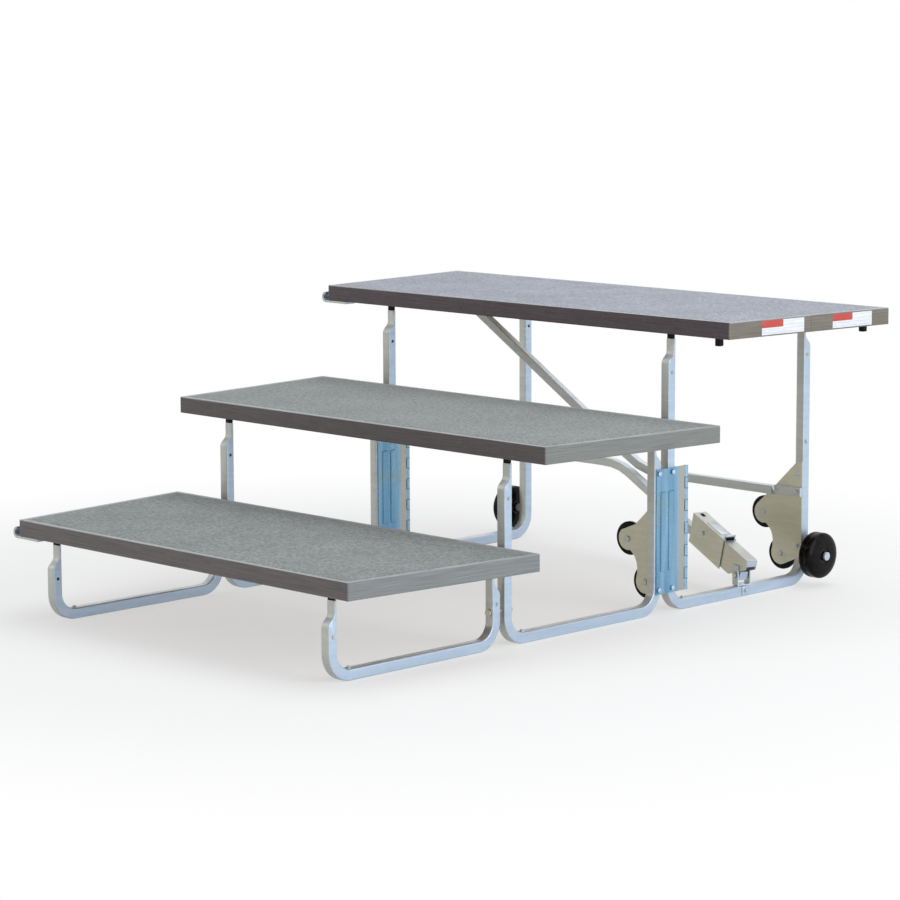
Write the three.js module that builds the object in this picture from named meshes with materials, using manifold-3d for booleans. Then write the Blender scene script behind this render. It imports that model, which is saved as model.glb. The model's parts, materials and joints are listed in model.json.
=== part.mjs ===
// A three-step choir riser: three carpeted decks that widen towards the rear, each carried by a
// left and a right U-shaped frame of square tube. The frames of the two front steps swing on upright
// piano hinges at the front of the third step's frames. Millimetres, +Z up, +Y from the front step
// to the rear one, origin on the floor under the middle of the whole.
import * as THREE from "three";
import { mergeVertices } from "three/addons/utils/BufferGeometryUtils.js";
import Module from "manifold-3d";

const wasm = await Module();
wasm.setup();

// Decks
const stepRise = 203.2;
const deckDepth = 457.2;
const deckThickness = 35;
const frontWidth = 982;
const rearWidth = 1270;
const gapBehindFirstDeck = 10.6;
const gapBehindSecondDeck = 19;
const carpetThickness = 4;
const edgeWidth = 12;
const edgeDrop = 0.8;
const edgeRounding = 1.6;
const edgeSeam = 0.5;

// Tube frames
const tubeSize = 22.2;
const tubeRounding = 2.6;
const frameSideInset = 69.4;
const frameRearOverhang = 10;
const frameFrontInset = 10;
const firstFrameFrontInset = 16;
const bendRadius = 55;
const tongueThickness = 7;
const tongueLength = 24;
const jogLength = 26;
const buttonHoleRadius = 3.6;
const buttonHoleDrop = 80;

// Sockets between the tongues and the decks
const socketHeight = 12;
const socketWidth = 13;
const socketDepth = 10;

// Piano hinges
const leafThickness = 2.6;
const leafLow = 42;
const leafHigh = 300;
const leafOverlap = 18;
const knuckleReach = 31.8;
const knuckleRadius = 5.2;
const knuckleCount = 11;
const hingePinRadius = 2;
const ribWidth = 15;
const ribHeight = 2.2;
const ribPitch = 24;
const ribEndInset = 47;
const leafBoltRadius = 5.5;
const leafBoltHeight = 3.4;
const leafBoltInset = 9;

// Stair wheels on their two brackets
const wheelRadius = 35;
const wheelWidth = 13;
const wheelCrown = 2.5;
const hubRadius = 11;
const hubProud = 0.8;
const axleRadius = 4;
const axleHeadRadius = 6.5;
const axleHeadHeight = 2.6;
const bracketThickness = 3;
const lobeRadius = 24;
const lobeStepX = 48;
const lobeStepZ = 85;
const middleWheelInset = 46;
const rearWheelInset = 58;
const wheelHeight = 60;
const middleBracketTop = 236;
const rearBracketTop = 266;
const bracketShoulderDrop = 58;
const bracketShoulderReach = 72;
const bracketTopWidth = 12;

// Large wheels at the rear corners
const cornerWheelRadius = 49;
const cornerWheelWidth = 42;
const cornerWheelRounding = 14;
const cornerWheelHeight = 66;
const cornerAxleRadius = 6;
const cornerAxleHeadRadius = 9;
const cornerAxleHeadHeight = 5;
const cornerWheelGap = 13;
const cornerHubRadius = 15;

// Braces of the third step
const braceSize = 19;
const braceRounding = 2.2;
const crossBarHeight = 199;
const crossBarBendX = -15;
const diagonalTopOutset = 9.5;
const diagonalTopSetback = 178;
const diagonalTopDrop = 17;
const lockBarRise = 10;
const lockBarBendX = 96;
const lockBarEndSetback = 209;
const braceBend = 45;
const tabLength = 74;
const tabThickness = 6;
const tabBoltRadius = 6;
const tabBoltHeight = 3.6;

// Brace lug under the third deck
const lugLength = 62;
const lugWidth = 40;
const lugThickness = 3;
const lugEarDrop = 42;
const lugBoltRadius = 4;
const lugBoltFromEnd = 18;
const lugGap = 1.3;

// Lock on the lower end of the lock bar
const sleeveWall = 2.4;
const sleeveLength = 134;
const sleeveSkirt = 19;
const sleeveFromEnd = 74;
const shoeLength = 118;
const shoeSkirt = 14;
const shoeFromEnd = -22;
const shoeNoseDrop = 22;
const shoeNoseSlope = 0.56;
const channelHeadroom = 34;
const clevisWall = 3;
const clevisWidth = 26;
const clevisHeight = 44;
const lockPinHeight = 45;
const lockBarTail = 8;
const clevisPinRadius = 4;
const clevisHeadRadius = 6.5;
const clevisHeadHeight = 3;

// Coupling clips on the left ends of the first and third decks
const clipSocketGap = 15;
const clipWidth = 26;
const clipThickness = 5;
const clipHookRadius = 12;
const clipOverhang = 8;
const clipSetback = 15;

// Rubber blocks under the right end of the third deck
const blockSide = 13;
const blockHeight = 17;
const blockInset = 24;

// Link bolts between the first and the second frames
const linkBoltRadius = 4;
const linkBoltHeadRadius = 7.5;
const linkBoltHeadHeight = 3.5;
const linkBoltHeight = 72;

// Fits
const seatGap = 0.3;
const runningGap = 0.4;
const channelGap = 0.9;
const overrun = 5;
const roundSides = 24;
const smallSides = 10;
const arcSteps = 6;

const stepCount = 3;
const deckFronts = [
  0,
  deckDepth + gapBehindFirstDeck,
  2 * deckDepth + gapBehindFirstDeck + gapBehindSecondDeck,
];
const deckRun = deckFronts[stepCount - 1] + deckDepth;
const outerFace = frontWidth / 2 - frameSideInset;
const innerFace = outerFace - tubeSize;
const tubeCentre = outerFace - tubeSize / 2;
const sideSlope = (rearWidth - frontWidth) / 2 / deckRun;
const frameInsets = [firstFrameFrontInset, frameFrontInset, frameFrontInset];
const frames = deckFronts.map((front, i) => ({
  front: front + frameInsets[i],
  rear: front + deckDepth + frameRearOverhang,
  deckBottom: stepRise * (i + 1) - deckThickness,
}));
const thirdFrame = frames[2];
const secondFrame = frames[1];
const cornerWheelY = thirdFrame.rear - tubeSize / 2;
const overallDepth = cornerWheelY + cornerWheelRadius;

const finishes = {
  carpet: { color: 0x6f7375, roughness: 0.95, metalness: 0 },
  edge: { color: 0x4a4644, roughness: 0.55, metalness: 0 },
  board: { color: 0x8a7458, roughness: 0.8, metalness: 0 },
  zinc: { color: 0xb9c0c4, roughness: 0.3, metalness: 0.9 },
  blueZinc: { color: 0x9fb6cc, roughness: 0.25, metalness: 0.9 },
  steel: { color: 0x9a968a, roughness: 0.4, metalness: 0.8 },
  nylon: { color: 0x141414, roughness: 0.5, metalness: 0 },
  rubber: { color: 0x1c1a1b, roughness: 0.45, metalness: 0 },
};

const riser = new THREE.Group();
riser.position.y = -overallDepth / 2;
const leftSide = new THREE.Group();
leftSide.scale.x = -1;
riser.add(leftSide);

function addPart(name, geometry, finish, parent = riser) {
  const closed = geometryOf(solidOf(geometry));
  const mesh = new THREE.Mesh(closed, new THREE.MeshStandardMaterial(finishes[finish]));
  mesh.name = name;
  parent.add(mesh);
  return mesh;
}

// Both sides of the riser hold the same piece, mirrored.
function addPair(name, geometry, finish) {
  addPart(`right_${name}`, geometry, finish);
  addPart(`left_${name}`, geometry.clone(), finish, leftSide);
}

// The right piece, and a copy of the same hand moved onto the left frame.
function addTwin(name, geometry, finish) {
  addPart(`right_${name}`, geometry, finish);
  addPart(`left_${name}`, geometry.clone().translate(-2 * tubeCentre, 0, 0), finish);
}

function solidOf(geometry) {
  const bare = geometry.clone();
  for (const extra of ["normal", "uv"]) bare.deleteAttribute(extra);
  const merged = mergeVertices(bare);
  return new wasm.Manifold(
    new wasm.Mesh({
      numProp: 3,
      vertProperties: new Float32Array(merged.attributes.position.array),
      triVerts: new Uint32Array(merged.index.array),
    }),
  );
}

function geometryOf(solid) {
  const mesh = solid.getMesh();
  const geometry = new THREE.BufferGeometry();
  geometry.setAttribute("position", new THREE.BufferAttribute(mesh.vertProperties, 3));
  geometry.setIndex(new THREE.BufferAttribute(mesh.triVerts, 1));
  return geometry;
}

function join(...geometries) {
  return geometryOf(geometries.map(solidOf).reduce((whole, piece) => whole.add(piece)));
}

function cut(geometry, ...tools) {
  return geometryOf(tools.map(solidOf).reduce((whole, tool) => whole.subtract(tool), solidOf(geometry)));
}

// A shape drawn in Y and Z, and given its thickness along X.
function alongX(shape, start, width, rounding = 0) {
  const geometry = extrude(shape, width, rounding);
  const turned = new THREE.Matrix4().makeBasis(
    new THREE.Vector3(0, 1, 0),
    new THREE.Vector3(0, 0, 1),
    new THREE.Vector3(1, 0, 0),
  );
  return geometry.applyMatrix4(turned).translate(start, 0, 0);
}

// A shape drawn in X and Z, and given its thickness along Y, from start towards the rear.
function alongY(shape, start, width, rounding = 0) {
  const geometry = extrude(shape, width, rounding);
  return geometry.rotateX(Math.PI / 2).translate(0, start + width, 0);
}

function alongZ(shape, start, height, rounding = 0) {
  return extrude(shape, height, rounding).translate(0, 0, start);
}

function extrude(shape, depth, rounding) {
  const geometry = new THREE.ExtrudeGeometry(shape, {
    depth: depth - 2 * rounding,
    curveSegments: arcSteps,
    bevelEnabled: rounding > 0,
    bevelThickness: rounding,
    bevelSize: rounding,
    bevelOffset: -rounding,
    bevelSegments: 1,
  });
  return geometry.translate(0, 0, rounding);
}

function rectangle(left, low, right, high) {
  const shape = new THREE.Shape();
  shape.moveTo(left, low);
  shape.lineTo(right, low);
  shape.lineTo(right, high);
  shape.lineTo(left, high);
  return shape;
}

function box(sizeX, sizeY, sizeZ, x, y, z) {
  return new THREE.BoxGeometry(sizeX, sizeY, sizeZ).translate(x, y, z);
}

function roundHole(shape, u, v, radius) {
  shape.holes.push(new THREE.Path().absarc(u, v, radius, 0, 2 * Math.PI, true));
}

const quarterTurn = Math.PI / 2;
const cylinderAlong = {
  X: (radius, length, sides = roundSides) => upright(radius, length, sides).rotateZ(quarterTurn),
  Y: (radius, length, sides = roundSides) => upright(radius, length, sides),
  Z: (radius, length, sides = roundSides) => upright(radius, length, sides).rotateX(quarterTurn),
};

// A cylinder centred on the origin, as three.js makes it, along Y.
function upright(radius, length, sides) {
  return new THREE.CylinderGeometry(radius, radius, length, sides);
}

function halfWidthAt(y) {
  return frontWidth / 2 + sideSlope * y;
}

function deckOutline(front, inset) {
  const sideInset = inset * Math.hypot(1, sideSlope);
  const near = front + inset;
  const far = front + deckDepth - inset;
  return [
    [-halfWidthAt(near) + sideInset, near],
    [halfWidthAt(near) - sideInset, near],
    [halfWidthAt(far) - sideInset, far],
    [-halfWidthAt(far) + sideInset, far],
  ].map(([x, y]) => new THREE.Vector2(x, y));
}

function addDeck(i) {
  const front = deckFronts[i];
  const top = stepRise * (i + 1);
  const bottom = top - deckThickness;
  const boardShape = new THREE.Shape(deckOutline(front, edgeWidth + seatGap));
  const boardHeight = deckThickness - carpetThickness - seatGap;
  addPart(`deck_${i + 1}_board`, alongZ(boardShape, bottom, boardHeight), "board");
  addPart(`deck_${i + 1}_carpet`, alongZ(boardShape, top - carpetThickness, carpetThickness), "carpet");
  const ring = new THREE.Shape(deckOutline(front, 0));
  ring.holes.push(new THREE.Path(deckOutline(front, edgeWidth).reverse()));
  const seamY = front + deckDepth / 2;
  const seam = box(
    2 * edgeWidth + overrun,
    edgeSeam,
    deckThickness + overrun,
    halfWidthAt(seamY) - edgeWidth / 2,
    seamY,
    top - deckThickness / 2,
  );
  const strip = alongZ(ring, bottom, deckThickness - edgeDrop, edgeRounding);
  const isSeamed = i === stepCount - 1;
  addPart(`deck_${i + 1}_edge`, isSeamed ? cut(strip, seam) : strip, "edge");
}

// The U of one frame, drawn in Y and Z: the uprights' inner sides run straight up to the tongues.
function frameOutline({ front, rear, deckBottom }) {
  const top = deckBottom - socketHeight - 2 * seatGap;
  const neck = top - tongueLength;
  const shoulder = neck - jogLength;
  const inner = bendRadius - tubeSize;
  const quarter = Math.PI / 2;
  const waist = neck - jogLength / 2;
  const frontTongue = front + tubeSize - tongueThickness;
  const rearTongue = rear - tubeSize + tongueThickness;
  const shape = new THREE.Shape();
  shape.moveTo(front + tubeSize, top);
  shape.lineTo(frontTongue, top);
  shape.lineTo(frontTongue, neck);
  shape.bezierCurveTo(frontTongue, waist, front, waist, front, shoulder);
  shape.lineTo(front, bendRadius);
  shape.absarc(front + bendRadius, bendRadius, bendRadius, 2 * quarter, 3 * quarter, false);
  shape.absarc(rear - bendRadius, bendRadius, bendRadius, 3 * quarter, 4 * quarter, false);
  shape.lineTo(rear, shoulder);
  shape.bezierCurveTo(rear, waist, rearTongue, waist, rearTongue, neck);
  shape.lineTo(rearTongue, top);
  shape.lineTo(rear - tubeSize, top);
  shape.lineTo(rear - tubeSize, bendRadius);
  shape.absarc(rear - bendRadius, bendRadius, inner, 4 * quarter, 3 * quarter, true);
  shape.absarc(front + bendRadius, bendRadius, inner, 3 * quarter, 2 * quarter, true);
  return shape;
}

function crossBore(direction, radius, x, y, z) {
  return cylinderAlong[direction](radius, tubeSize + overrun, smallSides).translate(x, y, z);
}

function addFrames(i) {
  const { front, rear, deckBottom } = frames[i];
  const frontMiddle = front + tubeSize / 2;
  const rearMiddle = rear - tubeSize / 2;
  const buttonZ = deckBottom - buttonHoleDrop;
  const linkBore = linkBoltRadius + runningGap;
  const axleBore = cornerAxleRadius + runningGap;
  const extraBores = [
    crossBore("Y", linkBore, tubeCentre, rearMiddle, linkBoltHeight),
    crossBore("Y", linkBore, tubeCentre, frontMiddle, linkBoltHeight),
    crossBore("X", axleBore, tubeCentre, cornerWheelY, cornerWheelHeight),
  ];
  const buttonBores = [frontMiddle, rearMiddle].map((y) =>
    crossBore("X", buttonHoleRadius, tubeCentre, y, buttonZ),
  );
  const tube = alongX(frameOutline(frames[i]), innerFace, tubeSize, tubeRounding);
  addPair(`frame_${i + 1}`, cut(tube, ...buttonBores, extraBores[i]), "zinc");
}

function addSockets(i) {
  const { front, rear, deckBottom } = frames[i];
  const z = deckBottom - seatGap - socketHeight / 2;
  const tongueMiddles = {
    front: front + tubeSize - tongueThickness / 2,
    rear: rear - tubeSize + tongueThickness / 2,
  };
  for (const [end, y] of Object.entries(tongueMiddles))
    addPair(`socket_${i + 1}_${end}`, box(socketWidth, socketDepth, socketHeight, tubeCentre, y, z), "nylon");
}

// One leaf's share of the knuckles, alternating along the pin, and the room for the other leaf's.
function knuckles(axisX, axisY, parity, radius, grow) {
  const pitch = (leafHigh - leafLow) / knuckleCount;
  const made = [];
  for (let k = 0; k < knuckleCount; k++) {
    if (k % 2 !== parity) continue;
    const barrel = cylinderAlong.Z(radius, pitch - seatGap + 2 * grow, smallSides);
    made.push(barrel.translate(axisX, axisY, leafLow + (k + 1 / 2) * pitch));
  }
  return made;
}

function addPianoHinges() {
  const axisX = outerFace + seatGap / 2;
  const axisY = thirdFrame.front + tubeSize + knuckleReach;
  const height = leafHigh - leafLow;
  const middle = (leafHigh + leafLow) / 2;
  const bore = cylinderAlong.Z(hingePinRadius + runningGap, height + overrun, smallSides);
  bore.translate(axisX, axisY, middle);

  const sheetFront = secondFrame.rear - leafOverlap;
  const sheetX = outerFace + seatGap;
  const sheet = alongX(rectangle(sheetFront, leafLow, axisY, leafHigh), sheetX, leafThickness);
  const ribMiddle = sheetFront + ribPitch + ribWidth / 2;
  const ribs = [0, ribPitch].map((step) => {
    const left = ribMiddle + step - ribPitch / 2 - ribWidth / 2;
    const outline = rectangle(left, leafLow + ribEndInset, left + ribWidth, leafHigh - ribEndInset);
    return alongX(outline, sheetX, leafThickness + ribHeight, ribHeight / 2);
  });
  const boltYs = [secondFrame.rear - tubeSize / 2, thirdFrame.front + tubeSize / 2];
  const heads = boltYs.flatMap((y) =>
    [leafLow + leafBoltInset, leafHigh - leafBoltInset].map((z) =>
      cylinderAlong.X(leafBoltRadius, leafThickness + leafBoltHeight, smallSides).translate(
        sheetX + (leafThickness + leafBoltHeight) / 2,
        y,
        z,
      ),
    ),
  );
  const wide = join(sheet, ...ribs, ...heads, ...knuckles(axisX, axisY, 0, knuckleRadius, 0));
  const wideLeaf = cut(wide, ...knuckles(axisX, axisY, 1, knuckleRadius + runningGap, seatGap), bore);
  addTwin("hinge_leaf_front", wideLeaf, "blueZinc");

  const flangeY = thirdFrame.front + tubeSize + seatGap;
  const flangeLow = bendRadius + seatGap;
  const webOutline = rectangle(flangeY, flangeLow, axisY, leafHigh);
  const flangeOutline = rectangle(flangeY, flangeLow, flangeY + leafThickness, leafHigh);
  const web = alongX(webOutline, outerFace - leafThickness, leafThickness);
  const flange = alongX(flangeOutline, innerFace, tubeSize);
  const narrow = join(web, flange, ...knuckles(axisX, axisY, 1, knuckleRadius, 0));
  const narrowLeaf = cut(narrow, ...knuckles(axisX, axisY, 0, knuckleRadius + runningGap, seatGap), bore);
  addTwin("hinge_leaf_rear", narrowLeaf, "blueZinc");

  const pin = cylinderAlong.Z(hingePinRadius, height, smallSides);
  addTwin("hinge_pin", pin.translate(axisX, axisY, middle), "steel");
}

// The plate that holds two wheels one above the other, drawn in X and Z beside its upright.
function bracketOutline(lowerX, top) {
  const upperX = lowerX - lobeStepX;
  const upperZ = wheelHeight + lobeStepZ;
  const shape = new THREE.Shape();
  shape.moveTo(outerFace, wheelHeight);
  shape.lineTo(outerFace, top);
  shape.lineTo(outerFace - bracketTopWidth, top);
  shape.lineTo(outerFace - bracketShoulderReach, top - bracketShoulderDrop);
  shape.absarc(upperX, upperZ, lobeRadius, 0.75 * Math.PI, 1.6 * Math.PI, false);
  const waist = new THREE.Vector2((upperX + lowerX) / 2, (upperZ + wheelHeight) / 2);
  const entry = lobePoint(lowerX, wheelHeight, 0.95 * Math.PI);
  shape.quadraticCurveTo(waist.x + lobeRadius / 2, waist.y, entry.x, entry.y);
  shape.absarc(lowerX, wheelHeight, lobeRadius, 0.95 * Math.PI, 1.6 * Math.PI, false);
  roundHole(shape, upperX, upperZ, axleRadius + seatGap);
  roundHole(shape, lowerX, wheelHeight, axleRadius + seatGap);
  return shape;
}

function lobePoint(x, z, angle) {
  return new THREE.Vector2(x + lobeRadius * Math.cos(angle), z + lobeRadius * Math.sin(angle));
}

function stairWheel() {
  const bore = axleRadius + runningGap;
  const half = wheelWidth / 2;
  const flank = half - hubProud;
  const profile = [
    [bore, -half],
    [hubRadius, -half],
    [hubRadius + hubProud, -flank],
    [wheelRadius - wheelCrown, -flank],
    [wheelRadius, wheelCrown - flank],
    [wheelRadius, flank - wheelCrown],
    [wheelRadius - wheelCrown, flank],
    [hubRadius + hubProud, flank],
    [hubRadius, half],
    [bore, half],
    [bore, -half],
  ].map(([radius, side]) => new THREE.Vector2(radius, side));
  return new THREE.LatheGeometry(profile, roundSides);
}

function addStairWheels(place, lowerInset, top, plateFront) {
  const lowerX = outerFace - lowerInset;
  const plate = alongY(bracketOutline(lowerX, top), plateFront, bracketThickness);
  addPart(`${place}_wheel_bracket`, plate, "steel");
  const wheelFront = plateFront + bracketThickness + runningGap;
  const hubs = {
    upper: [lowerX - lobeStepX, wheelHeight + lobeStepZ],
    lower: [lowerX, wheelHeight],
  };
  for (const [level, [x, z]] of Object.entries(hubs)) {
    addPart(`${place}_${level}_wheel`, stairWheel().translate(x, wheelFront + wheelWidth / 2, z), "rubber");
    const headFront = -seatGap - axleHeadHeight;
    const shankEnd = bracketThickness + runningGap + wheelWidth;
    const shank = cylinderAlong.Y(axleRadius, shankEnd - headFront, smallSides);
    shank.translate(0, (shankEnd + headFront) / 2, 0);
    const head = cylinderAlong.Y(axleHeadRadius, axleHeadHeight, smallSides);
    head.translate(0, headFront + axleHeadHeight / 2, 0);
    addPart(`${place}_${level}_axle`, join(shank, head).translate(x, plateFront, z), "zinc");
  }
}

function addCornerWheels() {
  const bore = cornerAxleRadius + runningGap;
  const half = cornerWheelWidth / 2;
  const rounding = cornerWheelRounding;
  const profile = [new THREE.Vector2(bore, -half)];
  const hubSink = cornerHubRadius + rounding / 2;
  profile.push(new THREE.Vector2(cornerHubRadius, -half), new THREE.Vector2(hubSink, -half + rounding / 2));
  const shoulderRadius = cornerWheelRadius - rounding;
  const steps = arcSteps / 2;
  for (const [side, start] of [[-1, -quarterTurn], [1, 0]])
    for (let k = 0; k <= steps; k++) {
      const angle = start + (k / steps) * quarterTurn;
      const radius = shoulderRadius + rounding * Math.cos(angle);
      profile.push(new THREE.Vector2(radius, side * (half - rounding) + rounding * Math.sin(angle)));
    }
  profile.push(new THREE.Vector2(hubSink, half - rounding / 2), new THREE.Vector2(cornerHubRadius, half));
  profile.push(new THREE.Vector2(bore, half), profile[0].clone());
  const wheelX = outerFace + cornerWheelGap + half;
  const wheel = new THREE.LatheGeometry(profile, roundSides).rotateZ(-quarterTurn);
  addPair("corner_wheel", wheel.translate(wheelX, cornerWheelY, cornerWheelHeight), "rubber");

  const shankEnd = wheelX + half + seatGap;
  const shank = cylinderAlong.X(cornerAxleRadius, shankEnd - innerFace);
  shank.translate((shankEnd + innerFace) / 2, 0, 0);
  const head = cylinderAlong.X(cornerAxleHeadRadius, cornerAxleHeadHeight);
  head.translate(shankEnd + cornerAxleHeadHeight / 2, 0, 0);
  const collarLength = cornerWheelGap - 2 * seatGap;
  const collar = cylinderAlong.X(cornerAxleHeadRadius, collarLength);
  collar.translate(outerFace + cornerWheelGap / 2, 0, 0);
  addPair("corner_axle", join(shank, head, collar).translate(0, cornerWheelY, cornerWheelHeight), "zinc");
}

// A square bar along a level run, a bend and a straight run to its far end.
function bentBar(start, corner, end) {
  const intoBend = corner.clone().sub(start).setLength(braceBend);
  const outOfBend = end.clone().sub(corner).setLength(braceBend);
  const bendStart = corner.clone().sub(intoBend);
  const bendEnd = corner.clone().add(outOfBend);
  const path = new THREE.CurvePath();
  path.add(new THREE.LineCurve3(start, bendStart));
  path.add(new THREE.QuadraticBezierCurve3(bendStart, corner, bendEnd));
  path.add(new THREE.LineCurve3(bendEnd, end));
  const steps = 4 * arcSteps;
  return new THREE.ExtrudeGeometry(barSection(), { steps, curveSegments: 1, extrudePath: path });
}

function barSection() {
  const half = braceSize / 2;
  const corner = half - braceRounding;
  const shape = new THREE.Shape();
  for (const [x, y, turn] of [[1, 1, 0], [-1, 1, 1], [-1, -1, 2], [1, -1, 3]])
    shape.absarc(x * corner, y * corner, braceRounding, turn * quarterTurn, (turn + 1) * quarterTurn, false);
  return shape;
}

// The flattened end of a bar, bolted to the front of a rear upright and flush with the bar's rear.
function boltedTab(side, barY, z) {
  const tabY = barY + (braceSize - tabThickness) / 2;
  const tab = box(tabLength, tabThickness, braceSize, side * (outerFace - tabLength / 2), tabY, z);
  const head = cylinderAlong.Y(tabBoltRadius, tabBoltHeight, smallSides);
  return [tab, head.translate(side * tubeCentre, tabY - (tabThickness + tabBoltHeight) / 2, z)];
}

const rearUprightFront = thirdFrame.rear - tubeSize;
const barStartX = outerFace - tabLength + tabThickness;
const crossBarY = rearUprightFront - bracketThickness - 2 * seatGap - braceSize / 2;
const crossStart = new THREE.Vector3(barStartX, crossBarY, crossBarHeight);
const crossCorner = new THREE.Vector3(crossBarBendX, crossBarY, crossBarHeight);
const crossTopZ = thirdFrame.deckBottom - diagonalTopDrop;
const crossTopX = -tubeCentre - diagonalTopOutset;
const crossTopY = thirdFrame.rear - diagonalTopSetback;
const crossTop = new THREE.Vector3(crossTopX, crossTopY, crossTopZ);
const crossFall = crossCorner.clone().sub(crossTop).normalize();
const lugBolt = crossTop.clone().addScaledVector(crossFall, lugBoltFromEnd);

const lockBarY = rearUprightFront - seatGap - braceSize / 2;
const lockBarHeight = crossBarHeight + lockBarRise;
const lockStart = new THREE.Vector3(-barStartX, lockBarY, lockBarHeight);
const lockCorner = new THREE.Vector3(-lockBarBendX, lockBarY, lockBarHeight);
const lockPin = new THREE.Vector3(tubeCentre, thirdFrame.rear - lockBarEndSetback, lockPinHeight);
const lockRise = lockCorner.clone().sub(lockPin).normalize();
const lockBarEnd = lockPin.clone().addScaledVector(lockRise, -lockBarTail);

// Turns a piece made along X to a bar's direction in plan, and moves it to a point.
function alongBar(geometry, direction, { x, y, z }) {
  return geometry.rotateZ(Math.atan2(direction.y, direction.x)).translate(x, y, z);
}

function addBraces() {
  const lugBore = cylinderAlong.Y(lugBoltRadius + runningGap, 2 * braceSize, smallSides);
  const crossTab = boltedTab(1, crossBarY, crossBarHeight);
  const crossBar = join(bentBar(crossStart, crossCorner, crossTop), ...crossTab);
  addPart("cross_brace", cut(crossBar, alongBar(lugBore, crossFall, lugBolt)), "zinc");

  const pinBore = cylinderAlong.Y(clevisPinRadius + runningGap, 2 * braceSize, smallSides);
  const lockTab = boltedTab(-1, lockBarY, lockBarHeight);
  const lockBar = join(bentBar(lockStart, lockCorner, lockBarEnd), ...lockTab);
  addPart("lock_brace", cut(lockBar, alongBar(pinBore, lockRise, lockPin)), "zinc");

  const plateTop = thirdFrame.deckBottom - seatGap - lugBolt.z;
  const earY = braceSize / 2 + lugGap + lugThickness / 2;
  const plate = box(lugLength, lugWidth, lugThickness, 0, lugWidth / 4, plateTop - lugThickness / 2);
  const ear = box(lugLength / 2, lugThickness, lugEarDrop, 0, earY, plateTop - lugEarDrop / 2);
  const shankLength = braceSize + 2 * lugGap + lugThickness;
  const shank = cylinderAlong.Y(lugBoltRadius, shankLength, smallSides).translate(0, lugThickness / 2, 0);
  addPart("brace_lug", alongBar(join(plate, ear, shank), crossFall, lugBolt), "zinc");
}

// A channel, open below, that stands over the lock bar, from a distance above the bar's end. Its
// skirt is how far its walls hang below the bar's middle, and a nose drop slants them back below
// that depth at the lower end, by the nose's slope in radians.
function channelOnLockBar(length, skirt, fromEnd, clearance, noseDrop = 0) {
  const inside = braceSize + 2 * clearance;
  const outside = inside + 2 * sleeveWall;
  const ceiling = inside / 2 + channelHeadroom;
  const roof = box(outside, length, sleeveWall, 0, 0, ceiling + sleeveWall / 2);
  const depth = ceiling + sleeveWall + skirt;
  const wallX = (inside + sleeveWall) / 2;
  const walls = [-1, 1].map((side) =>
    box(sleeveWall, length, depth, side * wallX, 0, (ceiling + sleeveWall - skirt) / 2),
  );
  const across = new THREE.Vector3(lockRise.y, -lockRise.x, 0).normalize();
  const over = new THREE.Vector3().crossVectors(across, lockRise);
  const middle = lockBarEnd.clone().addScaledVector(lockRise, fromEnd + length / 2);
  const placed = new THREE.Matrix4().makeBasis(across, lockRise, over).setPosition(middle);
  const channel = join(roof, ...walls);
  if (!noseDrop) return channel.applyMatrix4(placed);
  const below = box(outside + overrun, 2 * length, 2 * length, 0, 0, -length);
  below.rotateX(-shoeNoseSlope).translate(0, -length / 2, ceiling + sleeveWall - noseDrop);
  return cut(channel, below).applyMatrix4(placed);
}

function addLock() {
  const outerWidth = clevisWidth + 2 * clevisWall;
  const pinHole = cylinderAlong.Y(clevisPinRadius + runningGap, outerWidth + overrun, smallSides);
  const shoe = channelOnLockBar(shoeLength, shoeSkirt, shoeFromEnd, channelGap, shoeNoseDrop);
  addPart("lock_shoe", cut(shoe, alongBar(pinHole.clone(), lockRise, lockPin)), "steel");
  const sleeveClearance = channelGap + sleeveWall + runningGap;
  const sleeve = channelOnLockBar(sleeveLength, sleeveSkirt, sleeveFromEnd, sleeveClearance);
  addPart("lock_sleeve", sleeve, "steel");

  const low = tubeSize + seatGap - lockPin.z;
  const base = box(tubeSize, outerWidth, clevisWall, 0, 0, low + clevisWall / 2);
  const cheeks = [-1, 1].map((side) =>
    box(tubeSize, clevisWall, clevisHeight, 0, side * (clevisWidth + clevisWall) / 2, low + clevisHeight / 2),
  );
  addPart("lock_clevis", alongBar(cut(join(base, ...cheeks), pinHole), lockRise, lockPin), "zinc");

  const shankLength = outerWidth + 2 * seatGap + clevisHeadHeight;
  const shank = cylinderAlong.Y(clevisPinRadius, shankLength, smallSides);
  const head = cylinderAlong.Y(clevisHeadRadius, clevisHeadHeight, smallSides);
  const pin = join(shank.translate(0, clevisHeadHeight / 2, 0), head.translate(0, shankLength / 2, 0));
  addPart("lock_clevis_pin", alongBar(pin, lockRise, lockPin), "steel");
}

// A clip is as long as the room between the narrowest deck's end and its socket allows.
function clipReach(deckEnd, outer) {
  const narrowDeckEnd = -halfWidthAt(clipSetback);
  const socketEnd = -tubeCentre - socketWidth / 2;
  return socketEnd - clipSocketGap - narrowDeckEnd + deckEnd - outer;
}

// A strap under the deck's left end, with its outer end rolled up into a hook.
function addClip(i) {
  const y = deckFronts[i] + clipSetback;
  const deckEnd = -halfWidthAt(y);
  const low = frames[i].deckBottom - seatGap - clipThickness;
  const outer = deckEnd - clipOverhang;
  const shape = new THREE.Shape();
  const inner = outer + clipReach(deckEnd, outer);
  shape.moveTo(inner, low);
  shape.lineTo(inner, low + clipThickness);
  shape.lineTo(outer, low + clipThickness);
  const hookZ = low + clipHookRadius;
  shape.absarc(outer, hookZ, clipHookRadius - clipThickness, 3 * quarterTurn, quarterTurn, true);
  shape.absarc(outer, hookZ, clipHookRadius, quarterTurn, 3 * quarterTurn, false);
  addPart(`coupling_clip_${i + 1}`, alongY(shape, y - clipWidth / 2, clipWidth), "zinc");
}

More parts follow.
